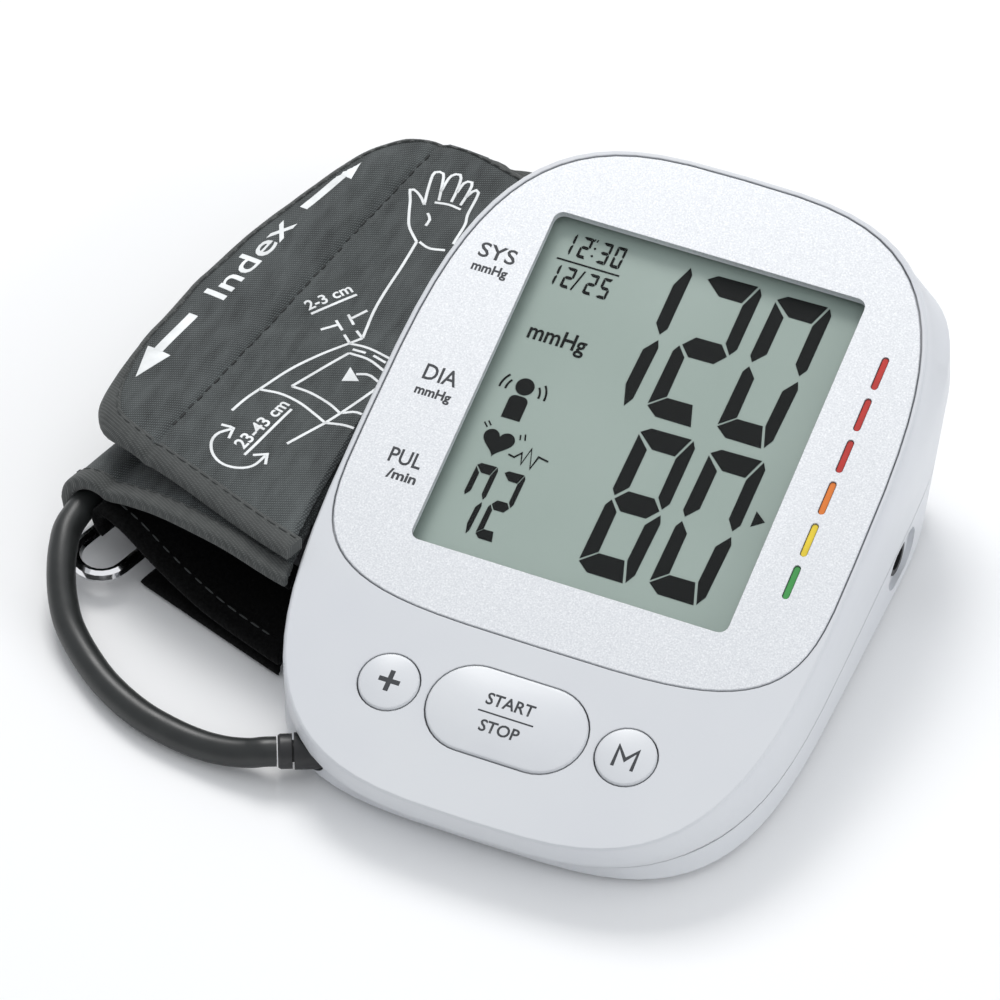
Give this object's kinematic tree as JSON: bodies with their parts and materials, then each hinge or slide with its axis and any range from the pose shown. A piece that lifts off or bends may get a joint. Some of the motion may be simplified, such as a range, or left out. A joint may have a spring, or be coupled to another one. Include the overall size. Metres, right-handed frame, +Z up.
{
  "type": "upper arm blood pressure monitor",
  "caption": "Desk blood pressure monitor with a tilted display, keys and range marks, and a folded upper arm cuff with a metal ring, joined by an air hose.",
  "frame": {"origin": "centre of the object's box, on the surface that it stands on", "axes": "+Z up; +X to the right of the person who reads the display; +Y away from them"},
  "size_m": [0.164, 0.174, 0.0551],
  "materials": {
    "white_shell": "fine satin moulded surface",
    "silver_plate": "satin silver paint with a fine sparkle",
    "white_key": "smooth satin plastic",
    "window": "clear polished acrylic",
    "display": "pale grey-green reflective display",
    "black_plastic": "fine matt",
    "board": "green solder mask",
    "rubber": "smooth matt",
    "silicone": "milky translucent",
    "steel": "bright plated",
    "chrome": "polished plating",
    "brass": "plated spring metal",
    "cell_wrap": null,
    "mark_red": "printed colour under gloss",
    "mark_orange": "printed colour under gloss",
    "mark_yellow": "printed colour under gloss",
    "mark_green": "printed colour under gloss",
    "grey_fabric": "woven nylon with bound edges",
    "black_fabric": "brushed loop velvet",
    "bladder": "welded sheet"
  },
  "bodies": {
    "monitor": {"air_manifold": "white_key", "air_socket": "black_plastic", "battery_1": "cell_wrap", "battery_2": "cell_wrap", "battery_3": "cell_wrap", "battery_4": "cell_wrap", "board_screw_1": "steel", "board_screw_2": "steel", "bottom_case": "white_shell", "buzzer": "black_plastic", "case_screw_1": "steel", "case_screw_2": "steel", "case_screw_3": "steel", "case_screw_4": "steel", "contact_strip_back": "brass", "contact_strip_front": "brass", "controller_chip": "black_plastic", "display_window": "window", "exhaust_valve": "steel", "faceplate": "silver_plate", "foot_1": "rubber", "foot_2": "rubber", "foot_3": "rubber", "foot_4": "rubber", "lcd_frame": "black_plastic", "lcd_panel": "display", "main_board": "board", "memory_switch": "black_plastic", "plus_switch": "black_plastic", "power_jack": "black_plastic", "pressure_sensor": "black_plastic", "pump_head": "white_key", "pump_motor": "steel", "pump_tube": "silicone", "range_mark_1": "mark_red", "range_mark_2": "mark_red", "range_mark_3": "mark_red", "range_mark_4": "mark_orange", "range_mark_5": "mark_yellow", "range_mark_6": "mark_green", "socket_tube": "silicone", "start_switch": "black_plastic", "top_case": "white_shell", "zebra_strip": "rubber"},
    "plus_button": {"plus_button": "white_key"},
    "start_stop_button": {"start_stop_button": "white_key"},
    "memory_button": {"memory_button": "white_key"},
    "battery_door": {"battery_door": "white_shell"},
    "cuff": {"cuff_flap": "grey_fabric", "cuff_wrap": "grey_fabric", "cuff_lining": "black_fabric", "air_bladder": "bladder", "cuff_fold": "black_fabric", "cuff_base": "black_fabric", "ring_sleeve": "black_fabric", "hose_nipple": "black_plastic", "air_hose": "rubber", "air_plug": "black_plastic"},
    "cuff_ring": {"cuff_ring": "chrome"}
  },
  "joints": [
    {"name": "plus_button_press", "type": "slide", "parent": "monitor", "child": "plus_button", "axis": [0, 0.2756, -0.9613], "range_m": [0, 0.0008], "stiffness_N_per_m": 1800},
    {"name": "start_stop_button_press", "type": "slide", "parent": "monitor", "child": "start_stop_button", "axis": [0, 0.2756, -0.9613], "range_m": [0, 0.0008], "stiffness_N_per_m": 1800},
    {"name": "memory_button_press", "type": "slide", "parent": "monitor", "child": "memory_button", "axis": [0, 0.2756, -0.9613], "range_m": [0, 0.0008], "stiffness_N_per_m": 1800},
    {"name": "battery_door_slide", "type": "slide", "parent": "monitor", "child": "battery_door", "axis": [0, 1, 0], "range_m": [0, 0.012]},
    {"name": "hose_unplug", "type": "slide", "parent": "monitor", "child": "cuff", "axis": [-0.9063, -0.4226, 0], "range_m": [0, 0.012]},
    {"name": "ring_swing", "type": "hinge", "parent": "cuff", "child": "cuff_ring", "pos_m": [-0.0434, 0.01617, 0.0046], "axis": [0.3156, 0.9489, 0], "range_deg": [-10, 4]}
  ]
}
